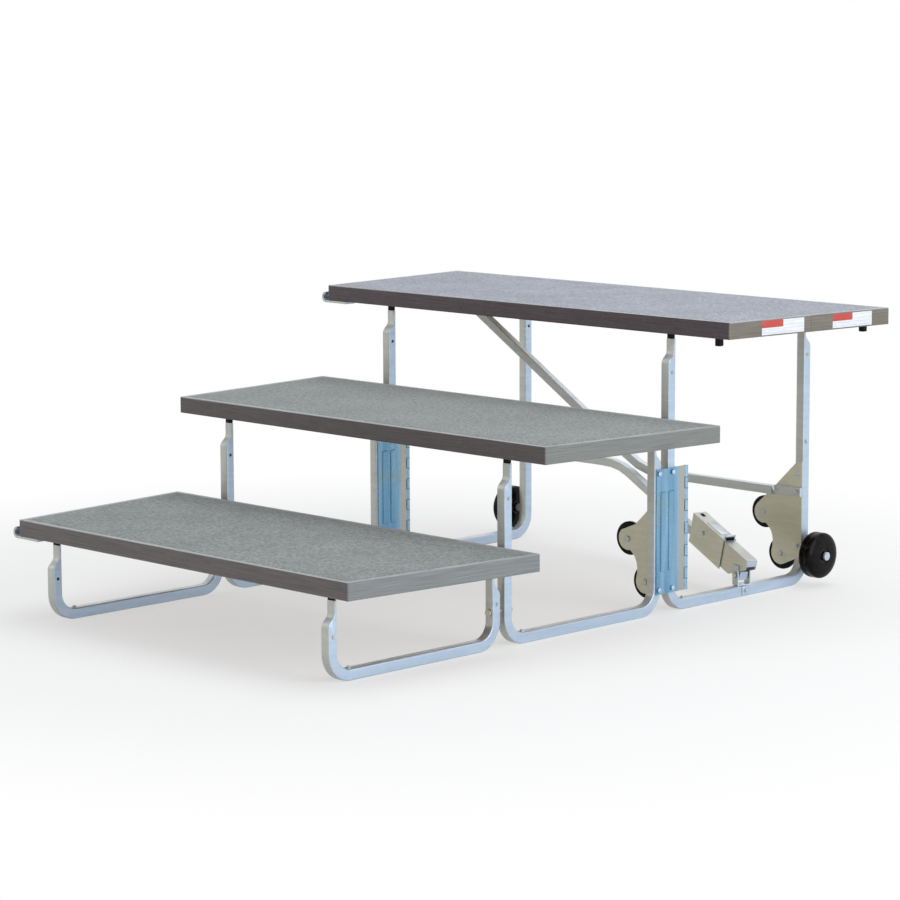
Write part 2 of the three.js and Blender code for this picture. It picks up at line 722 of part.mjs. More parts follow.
function addBlocks() {
  const z = thirdFrame.deckBottom - seatGap - blockHeight / 2;
  const rows = { front: deckFronts[2] + blockInset, rear: deckFronts[2] + deckDepth - blockInset };
  for (const [end, y] of Object.entries(rows)) {
    const x = halfWidthAt(y) - 2 * blockInset;
    addPart(`rubber_block_${end}`, box(blockSide, blockSide, blockHeight, x, y, z), "rubber");
  }
}

function addLinkBolts() {
  const near = frames[0].rear - tubeSize;
  const far = secondFrame.front + tubeSize;
  const length = far - near + 2 * seatGap;
  const middle = (near + far) / 2;
  const shank = cylinderAlong.Y(linkBoltRadius, length).translate(0, middle, 0);
  const heads = [-1, 1].map((side) =>
    cylinderAlong.Y(linkBoltHeadRadius, linkBoltHeadHeight, smallSides).translate(
      0,
      middle + side * (length + linkBoltHeadHeight) / 2,
      0,
    ),
  );
  addPair("link_bolt", join(shank, ...heads).translate(tubeCentre, 0, linkBoltHeight), "steel");
}

for (let i = 0; i < stepCount; i++) {
  addDeck(i);
  addFrames(i);
  addSockets(i);
}
addPianoHinges();
addLinkBolts();
addBraces();
addStairWheels("middle", middleWheelInset, middleBracketTop, secondFrame.rear + seatGap);
const rearPlateFront = thirdFrame.rear - tubeSize - bracketThickness - seatGap;
addStairWheels("rear", rearWheelInset, rearBracketTop, rearPlateFront);
addCornerWheels();
addLock();
addClip(0);
addClip(2);
addBlocks();

export default riser;
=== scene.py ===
"""A folding three-step choir riser: carpeted decks on zinc-plated tube frames, with transport wheels."""

import json
import math
import random

import bmesh
import bpy
from mathutils import Matrix, Vector

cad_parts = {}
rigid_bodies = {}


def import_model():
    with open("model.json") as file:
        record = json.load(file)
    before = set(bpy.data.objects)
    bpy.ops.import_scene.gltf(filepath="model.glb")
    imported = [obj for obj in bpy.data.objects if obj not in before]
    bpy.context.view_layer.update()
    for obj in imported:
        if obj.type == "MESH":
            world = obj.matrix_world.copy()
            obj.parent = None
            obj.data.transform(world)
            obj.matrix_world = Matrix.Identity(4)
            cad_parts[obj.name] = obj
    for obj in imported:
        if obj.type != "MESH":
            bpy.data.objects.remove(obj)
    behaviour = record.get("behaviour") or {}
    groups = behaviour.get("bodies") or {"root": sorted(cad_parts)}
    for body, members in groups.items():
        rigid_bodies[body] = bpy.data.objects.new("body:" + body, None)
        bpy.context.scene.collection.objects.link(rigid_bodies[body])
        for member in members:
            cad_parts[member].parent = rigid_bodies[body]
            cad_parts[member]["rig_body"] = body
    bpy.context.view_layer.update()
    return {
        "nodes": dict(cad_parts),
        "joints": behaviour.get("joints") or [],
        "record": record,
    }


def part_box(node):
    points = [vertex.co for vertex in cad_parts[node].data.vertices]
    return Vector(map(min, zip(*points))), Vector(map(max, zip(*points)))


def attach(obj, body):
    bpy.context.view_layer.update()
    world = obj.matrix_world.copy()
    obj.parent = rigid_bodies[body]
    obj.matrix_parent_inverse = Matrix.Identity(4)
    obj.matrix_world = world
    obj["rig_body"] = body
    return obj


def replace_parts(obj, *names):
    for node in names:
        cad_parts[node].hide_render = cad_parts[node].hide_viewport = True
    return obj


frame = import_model()

MM = 0.001
SEED = 7
random.seed(SEED)

# Mesh work: merging of CAD facets, rounding of edges, the least turn of a sharp edge in degrees,
# the turns of a lathe, and how near its closed ends come to the axis
MERGE_DISTANCE = 0.01 * MM
FACET_ANGLE = math.radians(0.5)
ROUND_PROFILE = 0.5
SOFTENING_SEGMENTS = 2
LARGE_FACE_WEIGHT = 100
CARPET_SMOOTH_ANGLE = 75
EDGE_SMOOTH_ANGLE = 30
BOLT_SMOOTH_ANGLE = 32
TUBE_SMOOTH_ANGLE = 50
PLATE_SMOOTH_ANGLE = 36
LATHE_TURNS = 72
SMALL_LATHE_TURNS = 32
ON_AXIS = 0.05 * MM

# Camera, placed by a fit to the corners of the decks
CAMERA_PLACE = Vector((4.5239, -4.4493, 1.2577))
CAMERA_RIGHT = Vector((0.70342897, 0.71075449, -0.00396801))
CAMERA_UP = Vector((-0.10136013, 0.10583799, 0.98920394))
SENSOR_MM = 36.0
FOCAL_SHARE_OF_WIDTH = 3.43277
CLIP_END = 200

# Finishes, as linear colours
# Deck 3's carpet is painted lighter and bluer than the lower two: a painted sheen from its more grazing
# view.
CARPETS_WITH_SHEEN = {
    1: ((0.132, 0.148, 0.145), (0.222, 0.244, 0.240), (0.325, 0.350, 0.345)),
    2: ((0.136, 0.152, 0.149), (0.230, 0.252, 0.248), (0.338, 0.362, 0.357)),
    3: ((0.205, 0.222, 0.266), (0.330, 0.352, 0.415), (0.465, 0.490, 0.565)),
}
# Edging fronts: the edging's dark tone, painted darker still as shade on faces turned from the lamps.
EDGE_SHADED_FRONTS = {
    1: ((0.075, 0.066, 0.062), (0.155, 0.138, 0.128)),
    2: ((0.060, 0.045, 0.047), (0.125, 0.100, 0.098)),
    3: ((0.032, 0.020, 0.024), (0.085, 0.055, 0.062)),
}
# Edging ends facing +X: painted lighter, as light from the right-hand lamp.
EDGE_LIT_SIDES = {
    1: ((0.152, 0.168, 0.170), (0.248, 0.272, 0.274)),
    2: ((0.142, 0.150, 0.143), (0.232, 0.244, 0.234)),
    3: ((0.115, 0.103, 0.084), (0.205, 0.185, 0.152)),
}
# A painted highlight on the edging's upward faces round the carpet.
EDGE_LIP_HIGHLIGHT = ((0.34, 0.36, 0.36), (0.45, 0.47, 0.47))
EDGE_SCUFF = (0.27, 0.26, 0.25)
ZINC = ((0.44, 0.45, 0.44), (0.58, 0.60, 0.60))
# Painted light on the zinc by which way a face turns: a bluish painted reflection on +X faces, a warm
# painted reflection on front faces, a painted highlight on top faces.
ZINC_SIDE_REFLECTION = (0.485, 0.60, 0.74)
ZINC_FRONT_REFLECTION = (0.50, 0.51, 0.475)
ZINC_TOP_HIGHLIGHT = (0.70, 0.75, 0.80)
ZINC_MARK = (0.50, 0.47, 0.40)
BLUE = ((0.13, 0.31, 0.49), (0.28, 0.47, 0.63))
LEAF_GREY = (0.42, 0.43, 0.40)
LEAF_IRIDESCENT = (0.30, 0.36, 0.22)
LEAF_GREY_SHARES = (0.62, 0.76)
LEAF_BARREL_SHARES = (0.885, 0.90)
STEEL = ((0.36, 0.35, 0.28), (0.54, 0.53, 0.45))
# Painted light on the steel by which way a face turns: a painted reflection on +X faces, a warm painted
# reflection on front faces, a painted highlight on top faces.
STEEL_SIDE_REFLECTION = (0.45, 0.49, 0.46)
STEEL_FRONT_REFLECTION = (0.57, 0.545, 0.42)
STEEL_TOP_HIGHLIGHT = (0.62, 0.65, 0.62)
WOOD = ((0.22, 0.14, 0.075), (0.46, 0.33, 0.20))
BLACK_DEEP = (0.0018, 0.0010, 0.0013)
# The worn black of nylon and rubber, also the paler tone of the painted shade in gaps and slots.
BLACK_WORN_AND_SHADE_TONE = (0.0080, 0.0055, 0.0062)
SHADOW = (0.010, 0.011, 0.014)
MARKER_WHITE = (0.80, 0.82, 0.86)
MARKER_GREY = (0.62, 0.64, 0.69)
MARKER_RED = (0.56, 0.045, 0.03)
MARKER_RED_WORN = (0.42, 0.06, 0.045)
FLOOR_COLOUR = (0.90, 0.90, 0.895)


class Finish:
    """A procedural material laid over the row frame's own coordinates, in metres."""

    def __init__(self, name, metallic=0.0, roughness=0.5, **sockets):
        self.material = bpy.data.materials.new(name)
        self.material.use_nodes = True
        self.tree = self.material.node_tree
        self.shader = self.tree.nodes["Principled BSDF"]
        coordinates = self.node("ShaderNodeTexCoord")
        self.place = coordinates.outputs["Object"]
        self.normal = coordinates.outputs["Normal"]
        self.shader.inputs["Metallic"].default_value = metallic
        self.shader.inputs["Roughness"].default_value = roughness
        for socket, value in sockets.items():
            self.shader.inputs[socket.replace("_", " ")].default_value = value

    def node(self, kind, **settings):
        made = self.tree.nodes.new(kind)
        for key, value in settings.items():
            setattr(made, key, value)
        return made

    def link(self, source, target):
        self.tree.links.new(source, target)

    def stretched(self, stretch):
        mapping = self.node("ShaderNodeMapping")
        mapping.inputs["Scale"].default_value = stretch
        self.link(self.place, mapping.inputs["Vector"])
        return mapping.outputs["Vector"]

    def noise(self, scale, detail, stretch=(1, 1, 1), distortion=0.0):
        noise = self.node("ShaderNodeTexNoise")
        noise.inputs["Scale"].default_value = scale
        noise.inputs["Detail"].default_value = detail
        noise.inputs["Distortion"].default_value = distortion
        self.link(self.stretched(stretch), noise.inputs["Vector"])
        return noise.outputs["Fac"]

    def cells(self, scale):
        cells = self.node("ShaderNodeTexVoronoi")
        cells.inputs["Scale"].default_value = scale
        self.link(self.place, cells.inputs["Vector"])
        return cells.outputs["Distance"]

    def ramp(self, factor, *stops):
        ramp = self.node("ShaderNodeValToRGB")
        elements = ramp.color_ramp.elements
        while len(elements) < len(stops):
            elements.new(0.5)
        for element, (position, colour) in zip(elements, stops):
            element.position = position
            element.color = (*colour, 1)
        self.link(factor, ramp.inputs["Fac"])
        return ramp.outputs["Color"]

    def span(self, value, low, high, out_low=0.0, out_high=1.0):
        span = self.node("ShaderNodeMapRange", interpolation_type="SMOOTHSTEP")
        limits = {"From Min": low, "From Max": high, "To Min": out_low, "To Max": out_high}
        for socket, number in limits.items():
            span.inputs[socket].default_value = number
        self.link(value, span.inputs["Value"])
        return span.outputs["Result"]

    def mix(self, factor, first, second, blend="MIX"):
        mix = self.node("ShaderNodeMix", data_type="RGBA", blend_type=blend)
        if isinstance(factor, float):
            mix.inputs["Factor"].default_value = factor
        else:
            self.link(factor, mix.inputs["Factor"])
        for socket, value in ((mix.inputs[6], first), (mix.inputs[7], second)):
            if isinstance(value, tuple):
                socket.default_value = (*value, 1)
            else:
                self.link(value, socket)
        return mix.outputs[2]

    def component(self, vector, letter):
        split = self.node("ShaderNodeSeparateXYZ")
        self.link(vector, split.inputs["Vector"])
        return split.outputs[letter]

    def facing(self, letter, low, high):
        """How far the surface turns towards one axis, as it was made."""
        return self.span(self.component(self.normal, letter), low, high)

    def colour(self, socket):
        self.link(socket, self.shader.inputs["Base Color"])

    def roughness(self, socket):
        self.link(socket, self.shader.inputs["Roughness"])

    def bumps(self, *layers):
        """Each layer is a height, a strength and a distance in metres, coarsest first."""
        below = None
        for height, strength, distance in layers:
            bump = self.node("ShaderNodeBump")
            bump.inputs["Strength"].default_value = strength
            bump.inputs["Distance"].default_value = distance
            self.link(height, bump.inputs["Height"])
            if below:
                self.link(below, bump.inputs["Normal"])
            below = bump.outputs["Normal"]
        self.link(below, self.shader.inputs["Normal"])


def carpet_finish(step):
    """Needle-punched pile: salt-and-pepper fibres in clumps, matted in soft patches; deck 3's colours
    carry a painted sheen.
    """
    dark, middle, light = CARPETS_WITH_SHEEN[step]
    finish = Finish(f"carpet_{step}", roughness=0.93, Sheen_Weight=0.2, Sheen_Roughness=0.5)
    clumps = finish.noise(165, detail=5, distortion=0.9)
    fibres = finish.noise(800, detail=3, distortion=0.5)
    tufts = finish.cells(430)
    patches = finish.noise(8, detail=5)
    pile = finish.ramp(clumps, (0.34, dark), (0.50, middle), (0.66, light))
    fleck = finish.ramp(fibres, (0.32, (0.78, 0.78, 0.79)), (0.68, (1.22, 1.22, 1.21)))
    matted = finish.ramp(patches, (0.32, (0.90, 0.90, 0.91)), (0.68, (1.08, 1.08, 1.07)))
    flecked = finish.mix(1.0, pile, fleck, "MULTIPLY")
    finish.colour(finish.mix(1.0, flecked, matted, "MULTIPLY"))
    finish.bumps((clumps, 0.35, 0.0016), (tufts, 0.40, 0.0010), (fibres, 0.45, 0.0008))
    return finish.material


def edge_finish(step):
    """Extruded edging with drawn streaks: the front painted dark as shade, the +X ends painted paler as
    light, and the upward lip painted pale as a highlight round the carpet.
    """
    finish = Finish(f"edge_{step}", roughness=0.42, Coat_Weight=0.1, Coat_Roughness=0.25)
    streaks = finish.noise(3, detail=6, stretch=(4, 4, 420))
    scuffs = finish.noise(60, detail=6, distortion=1.2)
    front, side, lip_highlight = (
        finish.ramp(streaks, (0.34, dark), (0.66, light))
        for dark, light in (EDGE_SHADED_FRONTS[step], EDGE_LIT_SIDES[step], EDGE_LIP_HIGHLIGHT)
    )
    # Painted light by which way each face turns: shade on the fronts, light on the +X ends, a highlight
    # on the upward faces.
    drawn = finish.mix(finish.facing("X", 0.45, 0.80), front, side)
    with_top_highlight = finish.mix(finish.facing("Z", 0.55, 0.85), drawn, lip_highlight)
    worn = finish.span(scuffs, 0.62, 0.80, 0.0, 0.3)
    finish.colour(finish.mix(worn, with_top_highlight, EDGE_SCUFF))
    finish.roughness(finish.span(scuffs, 0.3, 0.75, 0.36, 0.58))
    finish.bumps((streaks, 0.35, 0.0004), (scuffs, 0.06, 0.0003))
    return finish.material


def wood_finish():
    """Board grain that runs along the deck, with short pores."""
    finish = Finish("board", roughness=0.72)
    grain = finish.noise(5, detail=8, stretch=(1.2, 18, 18), distortion=0.8)
    pores = finish.noise(60, detail=4, stretch=(1, 14, 14))
    finish.colour(finish.ramp(grain, (0.3, WOOD[0]), (0.7, WOOD[1])))
    finish.bumps((grain, 0.2, 0.0006), (pores, 0.3, 0.0003))
    return finish.material


def plated_finish(name, plate, outer, front, top, roughness):
    """Plated steel: clear plating with painted light by which way a face turns, a bluish painted
    reflection on the +X sides, a warm painted reflection in front and a painted highlight on top, with
    faint drawing lines and a few dull handling marks."""
    finish = Finish(name, metallic=0.66, roughness=0.4)
    cloud = finish.noise(7, detail=4, distortion=0.5)
    lines = finish.noise(22, detail=4, stretch=(0.6, 0.6, 6))
    marks = finish.noise(70, detail=7, distortion=1.5)
    base = finish.ramp(cloud, (0.30, plate[0]), (0.70, plate[1]))
    # Painted reflection and highlight: the colour turns with the face, bluish on +X sides, warm in front
    # and bright on top.
    with_side_reflection = finish.mix(finish.facing("X", 0.35, 0.80), base, outer)
    with_front_reflection = finish.mix(finish.facing("Y", -0.35, -0.85), with_side_reflection, front)
    with_top_highlight = finish.mix(finish.facing("Z", 0.35, 0.85), with_front_reflection, top)
    marked = finish.mix(finish.span(marks, 0.62, 0.84, 0.0, 0.30), with_top_highlight, ZINC_MARK)
    drawn = finish.ramp(lines, (0.25, (0.92, 0.92, 0.93)), (0.75, (1.06, 1.06, 1.05)))
    finish.colour(finish.mix(1.0, marked, drawn, "MULTIPLY"))
    finish.roughness(finish.span(marks, 0.30, 0.75, *roughness))
    finish.bumps((cloud, 0.012, 0.0010), (marks, 0.004, 0.0003))
    return finish.material


def leaf_finish(side):
    """Blue-passivated plate with an iridescent cast, grey towards the knuckles."""
    low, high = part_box(f"{side}_hinge_leaf_front")
    grey_start, grey_end = (low.y + share * (high.y - low.y) for share in LEAF_GREY_SHARES)
    barrel_start, barrel_end = (low.y + share * (high.y - low.y) for share in LEAF_BARREL_SHARES)
    finish = Finish(f"{side}_leaf", metallic=0.85, roughness=0.3)
    streaks = finish.noise(12, detail=4, stretch=(1, 5, 0.35), distortion=0.3)
    casts = finish.noise(9, detail=3, stretch=(1, 0.4, 1.6))
    marks = finish.noise(80, detail=6, distortion=1.2)
    blue = finish.ramp(streaks, (0.30, BLUE[0]), (0.70, BLUE[1]))
    cast = finish.mix(finish.span(casts, 0.55, 0.75, 0.0, 0.35), blue, LEAF_IRIDESCENT)
    across = finish.component(finish.place, "Y")
    greyed = finish.mix(finish.span(across, grey_start, grey_end), cast, LEAF_GREY)
    finish.colour(finish.mix(finish.span(across, barrel_start, barrel_end), greyed, BLUE[1]))
    finish.roughness(finish.span(marks, 0.3, 0.7, 0.24, 0.42))
    finish.bumps((streaks, 0.08, 0.0005), (marks, 0.04, 0.0003))
    return finish.material


def black_finish(name, roughness, texture):
    """Dark moulded nylon or rubber with a fine texture and a little dust."""
    finish = Finish(name, roughness=roughness, Specular_IOR_Level=0.12)
    mould = finish.noise(texture, detail=5)
    dust = finish.noise(30, detail=6, distortion=0.8)
    finish.colour(finish.ramp(dust, (0.45, BLACK_DEEP), (0.85, BLACK_WORN_AND_SHADE_TONE)))
    finish.roughness(finish.span(dust, 0.35, 0.8, roughness - 0.08, roughness + 0.15))
    finish.bumps((mould, 0.08, 0.0004))
    return finish.material


def shadow_finish():
    """Painted shade for the depth of a gap or a slot, mottled."""
    finish = Finish("shadow", roughness=0.85, Specular_IOR_Level=0.1)
    shade_mottle = finish.noise(240, detail=5)
    finish.colour(finish.ramp(shade_mottle, (0.3, SHADOW), (0.8, BLACK_WORN_AND_SHADE_TONE)))
    finish.bumps((shade_mottle, 0.2, 0.0003))
    return finish.material


def marker_finish(name, clean, worn, stripe_pitch):
    """Reflective tape: a fine weave, rubbed places and thin lines along it."""
    finish = Finish(name, roughness=0.35, Coat_Weight=0.2, Coat_Roughness=0.2)
    rubs = finish.noise(45, detail=6, stretch=(1, 1, 5), distortion=0.7)
    weave = finish.cells(700)
    lines = finish.node("ShaderNodeMath", operation="FRACT")
    scaled = finish.node("ShaderNodeMath", operation="MULTIPLY")
    scaled.inputs[1].default_value = 1 / stripe_pitch
    finish.link(finish.component(finish.place, "Z"), scaled.inputs[0])
    finish.link(scaled.outputs[0], lines.inputs[0])
    rubbed = finish.ramp(rubs, (0.42, clean), (0.80, worn))
    finish.colour(finish.mix(finish.span(lines.outputs[0], 0.76, 0.84, 0.0, 0.75), rubbed, worn))
    finish.roughness(finish.span(rubs, 0.3, 0.8, 0.28, 0.5))
    finish.bumps((weave, 0.08, 0.0002))
    return finish.material


FINISHES = {
    "board": wood_finish(),
    "zinc": plated_finish("zinc", ZINC, ZINC_SIDE_REFLECTION, ZINC_FRONT_REFLECTION, ZINC_TOP_HIGHLIGHT, (0.36, 0.50)),
    "steel": plated_finish("steel", STEEL, STEEL_SIDE_REFLECTION, STEEL_FRONT_REFLECTION, STEEL_TOP_HIGHLIGHT, (0.34, 0.50)),
    "nylon": black_finish("nylon", 0.45, 400),
    "rubber": black_finish("rubber", 0.26, 260),
    "shadow": shadow_finish(),
}
DECK_FINISHES = {
    step: {"carpet": carpet_finish(step), "edge": edge_finish(step)} for step in CARPETS_WITH_SHEEN
}
LEAF_FINISHES = {side: leaf_finish(side) for side in ("left", "right")}
SLOTS = {row["node"]: row["material_slot"] for row in frame["record"]["subparts"]}


def finish_of(node):
    if SLOTS[node] == "blue_zinc":
        return LEAF_FINISHES[node.split("_")[0]]
    return FINISHES[SLOTS[node]]


def body_of(node):
    return frame["nodes"][node]["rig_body"]


def add_piece(name, mesh, material, body):
    mesh.materials.clear()
    mesh.materials.append(material)
    piece = bpy.data.objects.new(name, mesh)
    bpy.context.scene.collection.objects.link(piece)
    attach(piece, body)
    return piece


def mesh_from(name, shape, smooth_angle=38):
    bmesh.ops.recalc_face_normals(shape, faces=shape.faces)
    mesh = bpy.data.meshes.new(name)
    shape.to_mesh(mesh)
    shape.free()
    mesh.shade_smooth()
    mesh.set_sharp_from_angle(angle=math.radians(smooth_angle))
    return mesh


def shape_of(node):
    """The CAD node's own shape with its facets merged."""
    shape = bmesh.new()
    shape.from_mesh(frame["nodes"][node].data)
    bmesh.ops.remove_doubles(shape, verts=shape.verts, dist=MERGE_DISTANCE)
    bmesh.ops.dissolve_limit(shape, angle_limit=FACET_ANGLE, verts=shape.verts, edges=shape.edges)
    return shape


def round_edges(shape, edges, width, segments):
    bmesh.ops.bevel(
        shape, geom=edges, offset=width, segments=segments, profile=ROUND_PROFILE,
        clamp_overlap=True, affect="EDGES",
    )


def soften(shape, width, least_angle=35):
    """Rounds every edge that turns by more than the least angle, in degrees."""
    turned = [
        edge
        for edge in shape.edges
        if len(edge.link_faces) == 2 and edge.calc_face_angle(0) > math.radians(least_angle)
    ]
    if turned and width:
        round_edges(shape, turned, width, SOFTENING_SEGMENTS)


def keep_flats_flat(piece):
    weighted = piece.modifiers.new("weighted_normals", "WEIGHTED_NORMAL")
    weighted.keep_sharp = True
    weighted.weight = LARGE_FACE_WEIGHT


def dress(node, softening, smooth_angle):
    """The CAD node's own shape with its edges rounded and its finish."""
    shape = shape_of(node)
    soften(shape, softening * MM)
    mesh = mesh_from(node, shape, smooth_angle)
    piece = add_piece(f"{node}_shape", mesh, finish_of(node), body_of(node))
    keep_flats_flat(piece)
    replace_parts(piece, node)


def lathe(name, profile, axis, centre, turns=LATHE_TURNS):
    """Turns (radius, height) points, in metres, about an axis through a centre."""
    shape = bmesh.new()
    rings = []
    for k in range(turns):
        turn = Matrix.Rotation(2 * math.pi * k / turns, 3, "Z")
        rings.append([shape.verts.new(turn @ Vector((radius, 0, height))) for radius, height in profile])
    count = len(profile)
    for k in range(turns):
        here, there = rings[k], rings[(k + 1) % turns]
        for i in range(count):
            j = (i + 1) % count
            shape.faces.new((here[i], there[i], there[j], here[j]))
    upright = Vector((0, 0, 1)).rotation_difference(Vector(axis)).to_matrix().to_4x4()
    shape.transform(Matrix.Translation(centre) @ upright)
    return mesh_from(name, shape)


def arc(middle_radius, middle_height, radius, start, end, steps):
    """Points of an arc in a lathe profile, with angles in degrees from straight out."""
    angles = [math.radians(start + (end - start) * k / steps) for k in range(steps + 1)]
    return [(middle_radius + radius * math.cos(a), middle_height + radius * math.sin(a)) for a in angles]


def box_shape(sizes, centre=(0, 0, 0), softening=0.0):
    shape = bmesh.new()
    bmesh.ops.create_cube(shape, size=1)
    shape.transform(Matrix.Translation(centre) @ Matrix.Diagonal((*sizes, 1)))
    soften(shape, softening)
    return shape


def placed(shape, matrix):
    shape.transform(matrix)
    return shape


def block_mesh(name, sizes, softening, matrix):
    return mesh_from(name, placed(box_shape(sizes, softening=softening), matrix))


def axes_matrix(x_axis, y_axis, z_axis, origin):
    matrix = Matrix((x_axis, y_axis, z_axis)).transposed().to_4x4()
    return Matrix.Translation(origin) @ matrix


# Camera
def add_camera():
    camera = bpy.data.objects.new("camera", bpy.data.cameras.new("camera"))
    bpy.context.scene.collection.objects.link(camera)
    backwards = CAMERA_RIGHT.cross(CAMERA_UP)
    camera.matrix_world = axes_matrix(CAMERA_RIGHT, CAMERA_UP, backwards, CAMERA_PLACE)
    camera.data.sensor_width = SENSOR_MM
    camera.data.lens = SENSOR_MM * FOCAL_SHARE_OF_WIDTH
    camera.data.clip_end = CLIP_END
    bpy.context.scene.camera = camera


# Decks
CORNER_REACH = 3 * MM
CARPET_CELL = 9 * MM
CARPET_ROLL = 1.2 * MM
PILE_UNEVENNESS = 0.22 * MM


def corners_of(node):
    """A deck piece's front-left, front-right, rear-right and rear-left corners in plan."""
    low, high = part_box(node)
    points = [v.co for v in frame["nodes"][node].data.vertices]
    near_front = [p.x for p in points if p.y < low.y + CORNER_REACH]
    near_rear = [p.x for p in points if p.y > high.y - CORNER_REACH]
    return (
        Vector((min(near_front), low.y)),
        Vector((max(near_front), low.y)),
        Vector((max(near_rear), high.y)),
        Vector((min(near_rear), high.y)),
    )


def add_carpet(i):
    """The pile as a fine uneven sheet whose rim rolls down to the edging."""
    node = f"deck_{i}_carpet"
    low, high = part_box(node)
    front_left, front_right, rear_right, rear_left = corners_of(node)
    across = max(2, round((front_right.x - front_left.x) / CARPET_CELL))
    along = max(2, round((high.y - low.y) / CARPET_CELL))
    shape = bmesh.new()
    top = []
    for b in range(along + 1):
        left = front_left.lerp(rear_left, b / along)
        right = front_right.lerp(rear_right, b / along)
        row = []
        for a in range(across + 1):
            spot = left.lerp(right, a / across)
            on_rim = a in (0, across) or b in (0, along)
            drop = CARPET_ROLL if on_rim else random.uniform(0, PILE_UNEVENNESS)
            row.append(shape.verts.new((spot.x, spot.y, high.z - drop)))
        top.append(row)
    for b in range(along):
        for a in range(across):
            shape.faces.new((top[b][a], top[b][a + 1], top[b + 1][a + 1], top[b + 1][a]))
    rim = (
        [top[0][a] for a in range(across)]
        + [top[b][across] for b in range(along)]
        + [top[along][a] for a in range(across, 0, -1)]
        + [top[b][0] for b in range(along, 0, -1)]
    )
    foot = [shape.verts.new((v.co.x, v.co.y, low.z)) for v in rim]
    for k in range(len(rim)):
        j = (k + 1) % len(rim)
        shape.faces.new((rim[k], foot[k], foot[j], rim[j]))
    shape.faces.new(reversed(foot))
    mesh = mesh_from(node, shape, CARPET_SMOOTH_ANGLE)
    piece = add_piece(f"carpet_{i}", mesh, DECK_FINISHES[i]["carpet"], body_of(node))
    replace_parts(piece, node)


EDGE_CORNER = 5 * MM
EDGE_CORNER_SEGMENTS = 5
CORNER_LEAST_HEIGHT = 10 * MM
CORNER_SEARCH = 6 * MM


def add_edge(i):
    """The edging with its upright corners well rounded."""
    node = f"deck_{i}_edge"
    shape = shape_of(node)
    corners = corners_of(node)
    uprights = []
    for edge in shape.edges:
        a, b = (v.co for v in edge.verts)
        middle = (a + b) / 2
        stands = abs(a.z - b.z) > CORNER_LEAST_HEIGHT
        outer = any((Vector((middle.x, middle.y)) - corner).length < CORNER_SEARCH for corner in corners)
        if stands and outer:
            uprights.append(edge)
    round_edges(shape, uprights, EDGE_CORNER, EDGE_CORNER_SEGMENTS)
    mesh = mesh_from(node, shape, EDGE_SMOOTH_ANGLE)
    piece = add_piece(f"edging_{i}", mesh, DECK_FINISHES[i]["edge"], body_of(node))
    keep_flats_flat(piece)
    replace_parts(piece, node)


MARKER_SPANS = ((0.197, 0.456), (0.635, 0.884))
MARKER_HEIGHT_SHARE = 0.84
MARKER_RED_SHARE = 0.50
MARKER_STAND = 0.5 * MM
MARKER_SOFTENING = 0.15 * MM
MARKER_LINES = 4


def add_markers():
    """Two plain white markers with a red block on the highest deck's right end."""
    low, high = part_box("deck_3_edge")
    _, front, rear, _ = corners_of("deck_3_edge")
    start = Vector((front.x, front.y, 0))
    run = Vector((rear.x, rear.y, 0)) - start
    along = run.normalized()
    out = Vector((along.y, -along.x, 0))
    upward = Vector((0, 0, 1))
    tall = MARKER_HEIGHT_SHARE * (high.z - low.z)
    pitch = tall / MARKER_LINES
    white = marker_finish("marker_white", MARKER_WHITE, MARKER_GREY, pitch)
    red = marker_finish("marker_red", MARKER_RED, MARKER_RED_WORN, pitch)
    for number, (first, last) in enumerate(MARKER_SPANS, 1):
        length = (last - first) * run.length
        centre = start + run * (first + last) / 2 + upward * (low.z + high.z) / 2
        matrix = axes_matrix(along, upward, out, centre)
        plate = block_mesh("marker", (length, tall, MARKER_STAND), MARKER_SOFTENING, matrix)
        add_piece(f"marker_{number}", plate, white, "third_step")
        patch_length = MARKER_RED_SHARE * length
        patch_tall = MARKER_RED_SHARE * tall
        offset = ((patch_length - length) / 2, (tall - patch_tall) / 2, MARKER_STAND / 2)
        patch_sizes = (patch_length, patch_tall, MARKER_STAND)
        patch = placed(box_shape(patch_sizes, offset, MARKER_SOFTENING), matrix)
        add_piece(f"marker_{number}_red", mesh_from("marker_red", patch), red, "third_step")


# Stair wheels
TYRE_BORE = 4.5 * MM
TYRE_HUB = 11 * MM
TYRE_HUB_EASE = 1 * MM
TYRE_WEB_DEPTH = 1.4 * MM
TYRE_WEB_SHARE = 0.62
TYRE_FLANK_SHARE = 0.66
TYRE_FLANK_DROP = 0.8 * MM
TYRE_ROUNDING = 3.2 * MM
TYRE_ROUNDING_STEPS = 6
TYRE_GROOVE_HALF = 0.8 * MM
TYRE_GROOVE_DEPTH = 0.5 * MM


def add_stair_wheel(name):
    """A solid tyre with crowned shoulders, a moulded groove and a raised hub."""
    node = f"{name}_wheel"
    low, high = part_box(node)
    half = (high.y - low.y) / 2
    outer = (high.z - low.z) / 2
    flank = half - TYRE_FLANK_DROP
    web = flank - TYRE_WEB_DEPTH
    one_side = [
        (TYRE_BORE, half),
        (TYRE_HUB, half),
        (TYRE_HUB + TYRE_HUB_EASE, web),
        (TYRE_WEB_SHARE * outer, web),
        (TYRE_FLANK_SHARE * outer, flank),
        *arc(outer - TYRE_ROUNDING, flank - TYRE_ROUNDING, TYRE_ROUNDING, 90, 0, TYRE_ROUNDING_STEPS),
    ]
    tread = [(outer, TYRE_GROOVE_HALF), (outer - TYRE_GROOVE_DEPTH, 0)]
    profile = one_side + tread + [(r, -h) for r, h in reversed(one_side + tread[:1])]
    mesh = lathe(node, profile, (0, 1, 0), (low + high) / 2)
    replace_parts(add_piece(f"{name}_tyre", mesh, FINISHES["rubber"], body_of(node)), node)


